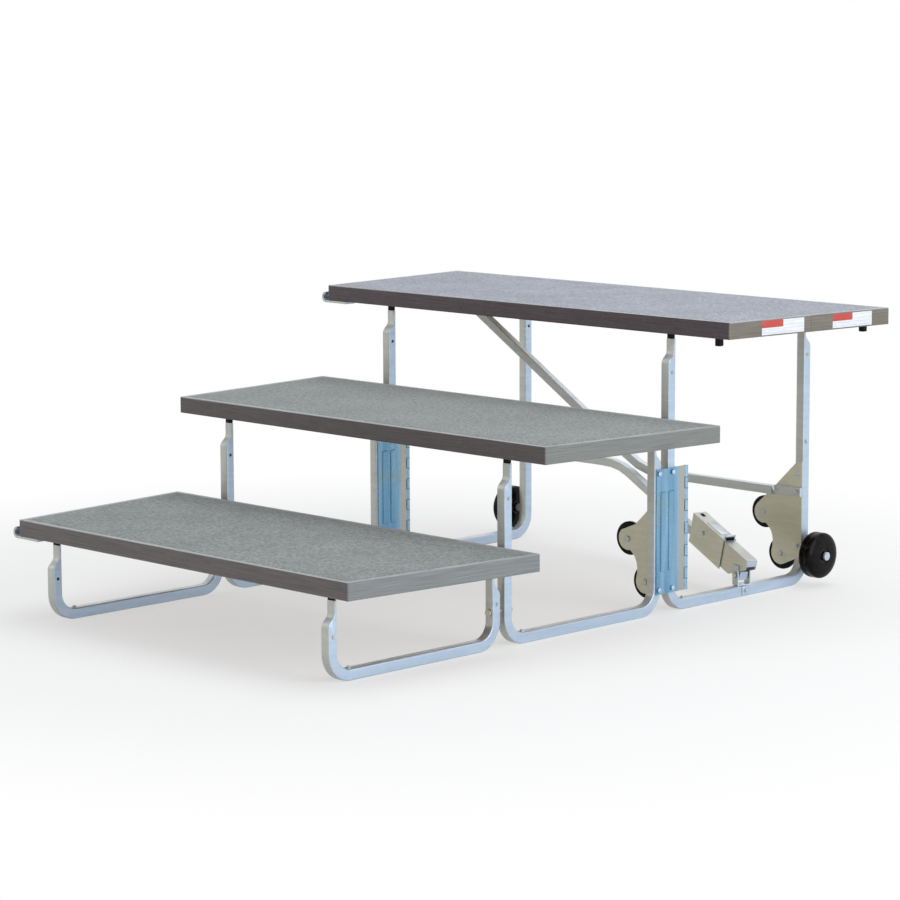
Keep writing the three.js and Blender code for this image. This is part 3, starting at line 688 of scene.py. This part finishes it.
# Corner wheels
ROLLER_BORE = 6.6 * MM
ROLLER_HUB = 15 * MM
ROLLER_HUB_BEVEL = 2 * MM
ROLLER_HUB_DROP = 0.3 * MM
ROLLER_STEP = 1.5 * MM
ROLLER_RIM = 9 * MM
ROLLER_DROP = 1.0 * MM
ROLLER_PARTING_HALF = 0.7 * MM
ROLLER_PARTING_DEPTH = 0.35 * MM
ROLLER_TURNS = 96
DOME_STEPS = 14
DOME_START, DOME_SWEEP = 4, 86
DOME_SPREAD, DOME_FULLNESS = 0.75, 0.85


def add_corner_wheel(side):
    """A moulded wheel whose faces dome out to a hub ring, with a parting line round the tread."""
    node = f"{side}_corner_wheel"
    low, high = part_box(node)
    half = (high.x - low.x) / 2
    outer = (high.z - low.z) / 2
    face = half - ROLLER_STEP
    one_side = [
        (ROLLER_BORE, face),
        (ROLLER_HUB - ROLLER_HUB_BEVEL, face),
        (ROLLER_HUB, half - ROLLER_HUB_DROP),
    ]
    for k in range(DOME_STEPS + 1):
        turn = math.radians(DOME_START + DOME_SWEEP * k / DOME_STEPS)
        spread = (outer - ROLLER_HUB - ROLLER_STEP) * math.sin(turn) ** DOME_SPREAD
        rise = (half - ROLLER_DROP - ROLLER_RIM) * math.cos(turn) ** DOME_FULLNESS
        one_side.append((ROLLER_HUB + ROLLER_STEP + spread, ROLLER_RIM + rise))
    tread = [(outer, ROLLER_PARTING_HALF), (outer - ROLLER_PARTING_DEPTH, 0)]
    profile = one_side + tread + [(r, -h) for r, h in reversed(one_side + tread[:1])]
    mesh = lathe(node, profile, (1, 0, 0), (low + high) / 2, turns=ROLLER_TURNS)
    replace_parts(add_piece(f"{side}_roller", mesh, FINISHES["rubber"], body_of(node)), node)


# Fasteners
WASHER_SHARE = 1.45
WASHER_HEIGHT = 0.9 * MM
WASHER_HOLE = 0.1 * MM
BOLT_SOFTENING = 0.35 * MM
BOLT_LEAST_ANGLE = 20
ROUND_HEAD_SIDES = 20


def add_bolt(name, place, axis, radius, height, body, sides=6):
    """A hexagon or round head on a thin washer, standing out along the axis."""
    reach = WASHER_SHARE * radius
    washer = [(WASHER_HOLE, 0), (reach, 0), (reach, WASHER_HEIGHT), (WASHER_HOLE, WASHER_HEIGHT)]
    mesh = lathe(f"{name}_washer", washer, axis, place, SMALL_LATHE_TURNS)
    add_piece(f"{name}_washer", mesh, FINISHES["zinc"], body)
    shape = bmesh.new()
    bmesh.ops.create_cone(
        shape, cap_ends=True, segments=sides, radius1=radius, radius2=radius, depth=height,
    )
    soften(shape, BOLT_SOFTENING, BOLT_LEAST_ANGLE)
    direction = Vector(axis)
    upright = Vector((0, 0, 1)).rotation_difference(direction).to_matrix().to_4x4()
    centre = Vector(place) + direction * (WASHER_HEIGHT + height / 2)
    head = mesh_from(name, placed(shape, Matrix.Translation(centre) @ upright), BOLT_SMOOTH_ANGLE)
    add_piece(name, head, FINISHES["zinc"], body)


BUTTON_DROP = 80 * MM
BUTTON_TOP_GAP = 12.6 * MM
BUTTON_RADIUS = 3.0 * MM
BUTTON_STAND = 1.3 * MM
BUTTON_ROOT = 6 * MM
BUTTON_TURNS = 24
SIDE_BOLT_DROP = 186 * MM
SIDE_BOLT_RADIUS = 4 * MM
SIDE_BOLT_HEIGHT = 2.0 * MM
BEND_RADIUS = 55 * MM
FOOT_BOLT_OUTSET = 4 * MM
FOOT_BOLT_RADIUS = 4 * MM
FOOT_BOLT_HEIGHT = 2.8 * MM


def add_frame_fittings(side, i):
    """Spring buttons, a foot bolt inside the front bend and, on the third step, a side bolt behind."""
    node = f"{side}_frame_{i}"
    body = body_of(node)
    low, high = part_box(node)
    out = Vector((1 if side == "right" else -1, 0, 0))
    face = high.x if side == "right" else low.x
    width = high.x - low.x
    height = high.z - (BUTTON_DROP - BUTTON_TOP_GAP)
    dome = [(ON_AXIS, -BUTTON_ROOT), (BUTTON_RADIUS, -BUTTON_ROOT), (BUTTON_RADIUS, 0)]
    dome += arc(0, 0, BUTTON_RADIUS, 8, 82, 6)[1:]
    dome = [(r, min(h, BUTTON_STAND)) for r, h in dome] + [(ON_AXIS, BUTTON_STAND)]
    for end, y in (("front", low.y + width / 2), ("rear", high.y - width / 2)):
        mesh = lathe("button", dome, out, Vector((face, y, height)), BUTTON_TURNS)
        add_piece(f"{node}_{end}_button", mesh, FINISHES["steel"], body)
    if i == 3:
        place = Vector((face, high.y - width / 2, height - SIDE_BOLT_DROP))
        name = f"{node}_rear_bolt"
        add_bolt(name, place, out, SIDE_BOLT_RADIUS, SIDE_BOLT_HEIGHT, body, ROUND_HEAD_SIDES)
    middle = (low.x + high.x) / 2
    place = Vector((middle, low.y + BEND_RADIUS + FOOT_BOLT_OUTSET, low.z + width))
    add_bolt(f"{node}_foot_bolt", place, (0, 0, 1), FOOT_BOLT_RADIUS, FOOT_BOLT_HEIGHT, body)


BRACKET_BOLT_INSET = 11 * MM
BRACKET_BOLT_SHARES = (0.20, 0.88)
BRACKET_BOLT_RADIUS = 4.2 * MM
BRACKET_BOLT_HEIGHT = 3 * MM


def add_bracket_bolts(place_name, facing):
    """Two bolts that hold a wheel bracket to its upright."""
    node = f"{place_name}_wheel_bracket"
    low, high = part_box(node)
    face = low.y if facing < 0 else high.y
    for number, share in enumerate(BRACKET_BOLT_SHARES, 1):
        place = Vector((high.x - BRACKET_BOLT_INSET, face, low.z + share * (high.z - low.z)))
        name = f"{node}_bolt_{number}"
        add_bolt(name, place, (0, facing, 0), BRACKET_BOLT_RADIUS, BRACKET_BOLT_HEIGHT, body_of(node))


# Lock. Slots are given as a share of the sleeve down from its upper end, and a length.
SLEEVE_SLOTS = ((0.11, 15 * MM), (0.80, 9 * MM))
SLOT_WIDTH = 8 * MM
SLOT_DEPTH = 0.5 * MM
SLOT_STAND = 0.1 * MM
SLOT_SOFTENING = 0.2 * MM
PLATE_WIDTH_SHARE = 0.62
PLATE_LENGTH_SHARE = 0.46
PLATE_PLACE_SHARE = 0.40
PLATE_THICKNESS = 0.8 * MM
PLATE_STAND = 0.35 * MM
PLATE_SOFTENING = 0.3 * MM
CATCH_WIDTH_SHARE = 0.80
CATCH_THICKNESS = 2.0 * MM
CATCH_HEIGHT = 13 * MM
CATCH_INSET = 1.2 * MM
CATCH_STAND = 4.5 * MM
CATCH_TILT = 28
CATCH_SOFTENING = 0.4 * MM
MOUTH_WIDTH_SHARE = 0.66
MOUTH_DEPTH = 0.6 * MM
MOUTH_HEIGHT = 7 * MM
MOUTH_OUTSET = 0.5 * MM
MOUTH_STAND = 1.2 * MM
MOUTH_SOFTENING = 0.2 * MM
RIVET_PLACE_SHARE = 0.62
RIVET_DROP = 24 * MM
RIVET_RADIUS = 4.2 * MM
RIVET_HEIGHT = 2.0 * MM
CAP_SIDE_GAP = 0.6 * MM
CAP_THICKNESS = 2.2 * MM
CAP_HEIGHT = 15 * MM
CAP_INSET = 1.4 * MM
CAP_DROP = 7.8 * MM
CAP_SOFTENING = 0.5 * MM
WINDOW_SIZES = (0.5 * MM, 10 * MM, 12 * MM)
WINDOW_INSET = 33 * MM
WINDOW_DROP = 36 * MM
WINDOW_SOFTENING = 0.15 * MM
STRAP_THICKNESS = 1.8 * MM
STRAP_WIDTH = 20 * MM
STRAP_HEIGHT_SHARE = 0.86
STRAP_OUTSET = 1.0 * MM
STRAP_LIFT = 3 * MM
STRAP_SOFTENING = 0.5 * MM
STRAP_BOLT_OUTSET = 0.9 * MM
STRAP_BOLT_RADIUS = 4 * MM
STRAP_BOLT_HEIGHT = 2.6 * MM


def lock_axes():
    """The lock bar's own axes: across it, up along it, and out of its upper side."""
    joint = next(j for j in frame["joints"] if j["name"] == "lock_sleeve_slide")
    rise = Vector(joint["axis"]).normalized()
    across = Vector((rise.y, -rise.x, 0)).normalized()
    return across, rise, across.cross(rise)


def span_along(node, direction):
    reach = [v.co.dot(direction) for v in frame["nodes"][node].data.vertices]
    return min(reach), max(reach)


def on_lock(axes, side, along, height):
    """The lock bar's axes, moved by a distance along each of them."""
    across, rise, over = axes
    return axes_matrix(across, rise, over, across * side + rise * along + over * height)


def add_sleeve_details(axes):
    """Painted shade in the slots and the mouth, a riveted plate and a turned-up catch on the sleeve, and
    a rivet through it.
    """
    across, rise, over = axes
    body = body_of("lock_sleeve")
    zinc, shadow = FINISHES["zinc"], FINISHES["shadow"]
    side_low, side_high = span_along("lock_sleeve", across)
    start, end = span_along("lock_sleeve", rise)
    top = span_along("lock_sleeve", over)[1]
    middle = (side_low + side_high) / 2
    width = side_high - side_low
    for number, (share, length) in enumerate(SLEEVE_SLOTS, 1):
        matrix = on_lock(axes, middle, end - share * (end - start), top + SLOT_STAND)
        mesh = block_mesh("slot", (SLOT_WIDTH, length, SLOT_DEPTH), SLOT_SOFTENING, matrix)
        add_piece(f"sleeve_slot_{number}", mesh, shadow, body)
    sizes = (PLATE_WIDTH_SHARE * width, PLATE_LENGTH_SHARE * (end - start), PLATE_THICKNESS)
    matrix = on_lock(axes, middle, start + PLATE_PLACE_SHARE * (end - start), top + PLATE_STAND)
    add_piece("sleeve_plate", block_mesh("plate", sizes, PLATE_SOFTENING, matrix), zinc, body)
    sizes = (CATCH_WIDTH_SHARE * width, CATCH_THICKNESS, CATCH_HEIGHT)
    tilt = Matrix.Rotation(math.radians(CATCH_TILT), 4, "X")
    matrix = on_lock(axes, middle, start + CATCH_INSET, top + CATCH_STAND) @ tilt
    add_piece("sleeve_catch", block_mesh("catch", sizes, CATCH_SOFTENING, matrix), zinc, body)
    sizes = (MOUTH_WIDTH_SHARE * width, MOUTH_DEPTH, MOUTH_HEIGHT)
    matrix = on_lock(axes, middle, start - MOUTH_OUTSET, top + MOUTH_STAND)
    add_piece("sleeve_mouth", block_mesh("mouth", sizes, MOUTH_SOFTENING, matrix), shadow, body)
    rivet_along = start + RIVET_PLACE_SHARE * (end - start)
    for wall, face, side in (("inner", side_low, -1), ("outer", side_high, 1)):
        place = on_lock(axes, face, rivet_along, top - RIVET_DROP).translation
        name = f"sleeve_rivet_{wall}"
        add_bolt(name, place, side * across, RIVET_RADIUS, RIVET_HEIGHT, body, ROUND_HEAD_SIDES)


def add_shoe_details(axes):
    """The cap at the shoe's lower end and painted shade for the window in each of its walls."""
    across, rise, over = axes
    start = span_along("lock_shoe", rise)[0]
    top = span_along("lock_shoe", over)[1]
    side_low, side_high = span_along("lock_shoe", across)
    sizes = (side_high - side_low - CAP_SIDE_GAP, CAP_THICKNESS, CAP_HEIGHT)
    matrix = on_lock(axes, (side_low + side_high) / 2, start + CAP_INSET, top - CAP_DROP)
    mesh = block_mesh("cap", sizes, CAP_SOFTENING, matrix)
    add_piece("shoe_end_cap", mesh, FINISHES["zinc"], "third_step")
    for name, face in (("inner", side_low), ("outer", side_high)):
        matrix = on_lock(axes, face, start + WINDOW_INSET, top - WINDOW_DROP)
        mesh = block_mesh("window", WINDOW_SIZES, WINDOW_SOFTENING, matrix)
        add_piece(f"shoe_window_{name}", mesh, FINISHES["shadow"], "third_step")


def add_clevis_strap():
    """The strap that holds the clevis to the rail, with its bolt."""
    pin_low, pin_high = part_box("lock_clevis_pin")
    rail_low, rail_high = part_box("right_frame_3")
    tall = STRAP_HEIGHT_SHARE * (rail_high.x - rail_low.x)
    along = (pin_low.y + pin_high.y) / 2
    centre = Vector((rail_high.x + STRAP_OUTSET, along, rail_low.z + tall / 2 + STRAP_LIFT))
    sizes = (STRAP_THICKNESS, STRAP_WIDTH, tall)
    mesh = block_mesh("strap", sizes, STRAP_SOFTENING, Matrix.Translation(centre))
    add_piece("clevis_strap", mesh, FINISHES["zinc"], "third_step")
    place = centre + Vector((STRAP_BOLT_OUTSET, 0, 0))
    add_bolt("clevis_strap_bolt", place, (1, 0, 0), STRAP_BOLT_RADIUS, STRAP_BOLT_HEIGHT, "third_step")


# Piano hinges
KNUCKLES = 11
KNUCKLE_RADIUS = 5.2 * MM
KNUCKLE_GAP_STAND = 0.12 * MM
KNUCKLE_GAP_DEPTH = 2 * MM
KNUCKLE_GAP_HALF = 0.45 * MM
LEAF_FACE = 2.85 * MM
LEAF_GAP_DEPTH = 0.3 * MM
LEAF_GAP_WIDTH = 1.1 * MM
LEAF_GAP_OFFSET = 0.9 * MM
LEAF_GAP_SOFTENING = 0.1 * MM
LEAF_BOLT_INSET = 9 * MM
LEAF_BOLT_RADIUS = 5.5 * MM
LEAF_BOLT_FOOT_SHARE = 0.92
LEAF_BOLT_ROOT = 0.6 * MM
LEAF_BOLT_RIM = 0.1 * MM
LEAF_BOLT_CROWN = 0.9 * MM
LEAF_BOLT_ANGLES = (20, 40, 60, 80)
LEAF_BOLT_TURNS = 28


def add_hinge_details(side):
    """Painted shade in the gaps between the knuckles and beside every other one, and domed leaf bolts.
    """
    front = f"{side}_hinge_leaf_front"
    body = body_of(front)
    low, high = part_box(front)
    axis_y = high.y - KNUCKLE_RADIUS
    pin_low, pin_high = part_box(f"{side}_hinge_pin")
    axis_x = (pin_low.x + pin_high.x) / 2
    pitch = (high.z - low.z) / KNUCKLES
    reach = KNUCKLE_RADIUS + KNUCKLE_GAP_STAND
    root = reach - KNUCKLE_GAP_DEPTH
    half = KNUCKLE_GAP_HALF
    ring = [(root, -half), (reach, -half), (reach, half), (root, half)]
    for k in range(1, KNUCKLES):
        place = Vector((axis_x, axis_y, low.z + k * pitch))
        mesh = lathe("knuckle_gap", ring, (0, 0, 1), place, SMALL_LATHE_TURNS)
        add_piece(f"{side}_knuckle_gap_{k}", mesh, FINISHES["shadow"], body)
    gap_x, gap_y = axis_x + LEAF_FACE, axis_y - KNUCKLE_RADIUS - LEAF_GAP_OFFSET
    sizes = (LEAF_GAP_DEPTH, LEAF_GAP_WIDTH, pitch)
    for k in range(1, KNUCKLES, 2):
        matrix = Matrix.Translation((gap_x, gap_y, low.z + (k + 0.5) * pitch))
        mesh = block_mesh("leaf_gap", sizes, LEAF_GAP_SOFTENING, matrix)
        add_piece(f"{side}_leaf_gap_{k}", mesh, FINISHES["shadow"], body)
    frame_low, frame_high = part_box(f"{side}_frame_2")
    third_low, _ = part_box(f"{side}_frame_3")
    half_tube = (frame_high.x - frame_low.x) / 2
    spots = [
        (y, z)
        for y in (frame_high.y - half_tube, third_low.y + half_tube)
        for z in (low.z + LEAF_BOLT_INSET, high.z - LEAF_BOLT_INSET)
    ]
    foot = LEAF_BOLT_RADIUS * LEAF_BOLT_FOOT_SHARE
    dome = [(ON_AXIS, -LEAF_BOLT_ROOT), (foot, -LEAF_BOLT_ROOT), (foot, LEAF_BOLT_RIM)]
    for degrees in LEAF_BOLT_ANGLES:
        angle = math.radians(degrees)
        dome.append((foot * math.cos(angle), LEAF_BOLT_CROWN * math.sin(angle)))
    dome.append((ON_AXIS, LEAF_BOLT_CROWN))
    for number, (y, z) in enumerate(spots, 1):
        mesh = lathe("leaf_bolt", dome, (1, 0, 0), Vector((high.x, y, z)), LEAF_BOLT_TURNS)
        add_piece(f"{side}_leaf_bolt_{number}", mesh, FINISHES["zinc"], body)


# Softening of each kind of CAD node, in millimetres
SOFTENING = {
    "socket": 1.0,
    "hinge_leaf": 0.7,
    "hinge_pin": 0.3,
    "link_bolt": 0.5,
    "bracket": 0.5,
    "axle": 0.5,
    "lug": 0.5,
    "lock_s": 0.6,
    "lock_clevis": 0.6,
    "clip": 0.6,
    "block": 1.8,
    "board": 0.5,
}


def softening_of(node):
    return next((width for key, width in SOFTENING.items() if key in node), 0.0)


def dress_nodes():
    own = ("carpet", "edge", "_wheel")
    for node in sorted(frame["nodes"]):
        if node.endswith(own):
            continue
        is_tube = "frame" in node or "brace" in node and "lug" not in node
        dress(node, softening_of(node), TUBE_SMOOTH_ANGLE if is_tube else PLATE_SMOOTH_ANGLE)


# Floor, world and lights
FLOOR_HALF = 60
FLOOR_DROP = 0.2 * MM
FLOOR_ROUGHNESS = 0.9
FLOOR_SPECULAR = 0.1
FADE_START = 0.95
FADE_END = 1.85
SHADOW_SOFTENING = 0.55


def show_to_camera(tree, shader, seen_shader):
    """Shows the second shader to the camera and in reflections, and lights with the first."""
    rays = tree.nodes.new("ShaderNodeLightPath")
    seen = rays.outputs["Is Camera Ray"]
    for ray in ("Is Glossy Ray", "Is Transmission Ray"):
        either = tree.nodes.new("ShaderNodeMath")
        either.operation = "MAXIMUM"
        tree.links.new(seen, either.inputs[0])
        tree.links.new(rays.outputs[ray], either.inputs[1])
        seen = either.outputs[0]
    mix = tree.nodes.new("ShaderNodeMixShader")
    tree.links.new(seen, mix.inputs["Fac"])
    tree.links.new(shader, mix.inputs[1])
    tree.links.new(seen_shader, mix.inputs[2])
    return mix.outputs[0]


def add_floor():
    """A pale floor that takes the shadow near the riser and fades to white around it."""
    shape = bmesh.new()
    corners = [(-1, -1), (1, -1), (1, 1), (-1, 1)]
    shape.faces.new([shape.verts.new((x * FLOOR_HALF, y * FLOOR_HALF, -FLOOR_DROP)) for x, y in corners])
    mesh = bpy.data.meshes.new("floor")
    shape.to_mesh(mesh)
    shape.free()
    material = bpy.data.materials.new("floor")
    material.use_nodes = True
    tree = material.node_tree
    shader = tree.nodes["Principled BSDF"]
    shader.inputs["Base Color"].default_value = (*FLOOR_COLOUR, 1)
    shader.inputs["Roughness"].default_value = FLOOR_ROUGHNESS
    shader.inputs["Specular IOR Level"].default_value = FLOOR_SPECULAR
    glow = tree.nodes.new("ShaderNodeEmission")
    place = tree.nodes.new("ShaderNodeTexCoord")
    distance = tree.nodes.new("ShaderNodeVectorMath")
    distance.operation = "LENGTH"
    tree.links.new(place.outputs["Object"], distance.inputs[0])
    fade = tree.nodes.new("ShaderNodeMapRange")
    fade.interpolation_type = "SMOOTHSTEP"
    fade.inputs["From Min"].default_value = FADE_START
    fade.inputs["From Max"].default_value = FADE_END
    fade.inputs["To Min"].default_value = SHADOW_SOFTENING
    tree.links.new(distance.outputs["Value"], fade.inputs["Value"])
    lit = tree.nodes.new("ShaderNodeMixShader")
    tree.links.new(fade.outputs["Result"], lit.inputs["Fac"])
    tree.links.new(shader.outputs[0], lit.inputs[1])
    tree.links.new(glow.outputs[0], lit.inputs[2])
    shown = show_to_camera(tree, shader.outputs[0], lit.outputs[0])
    tree.links.new(shown, tree.nodes["Material Output"].inputs["Surface"])
    mesh.materials.append(material)
    floor = bpy.data.objects.new("floor", mesh)
    bpy.context.scene.collection.objects.link(floor)


WORLD_LIGHT = 0.46
WORLD_COLOUR = (0.93, 0.96, 1.0)


def add_world():
    world = bpy.data.worlds.new("studio")
    bpy.context.scene.world = world
    world.use_nodes = True
    tree = world.node_tree
    light = tree.nodes["Background"]
    light.inputs["Color"].default_value = (*WORLD_COLOUR, 1)
    light.inputs["Strength"].default_value = WORLD_LIGHT
    white = tree.nodes.new("ShaderNodeBackground")
    white.inputs["Color"].default_value = (1, 1, 1, 1)
    shown = show_to_camera(tree, light.outputs[0], white.outputs[0])
    tree.links.new(shown, tree.nodes["World Output"].inputs["Surface"])


# Each lamp's name, place, target, side, power and colour
LAMPS = (
    ("right_softbox", (4.6, 0.2, 1.6), (0.3, 0.1, 0.3), 3.2, 108, (0.94, 0.97, 1.0)),
    ("top_softbox", (0.4, 1.0, 4.6), (0.0, 0.0, 0.4), 4.2, 100, (1.0, 1.0, 1.0)),
    ("left_fill", (-3.6, -3.6, 2.0), (0.0, 0.0, 0.3), 2.5, 12, (1.0, 0.95, 0.90)),
)


def add_lamps():
    for name, place, target, size, power, colour in LAMPS:
        lamp = bpy.data.lights.new(name, "AREA")
        lamp.size = size
        lamp.energy = power
        lamp.color = colour
        holder = bpy.data.objects.new(name, lamp)
        bpy.context.scene.collection.objects.link(holder)
        holder.location = place
        holder.rotation_euler = (Vector(target) - Vector(place)).to_track_quat("-Z", "Y").to_euler()


add_camera()
dress_nodes()
for step in (1, 2, 3):
    add_carpet(step)
    add_edge(step)
    for hand in ("right", "left"):
        add_frame_fittings(hand, step)
add_markers()
for wheel in ("middle_upper", "middle_lower", "rear_upper", "rear_lower"):
    add_stair_wheel(wheel)
for hand in ("right", "left"):
    add_corner_wheel(hand)
    add_hinge_details(hand)
add_bracket_bolts("rear", -1)
add_bracket_bolts("middle", 1)
lock = lock_axes()
add_sleeve_details(lock)
add_shoe_details(lock)
add_clevis_strap()
add_floor()
add_world()
add_lamps()
bpy.context.scene.view_settings.view_transform = "Standard"
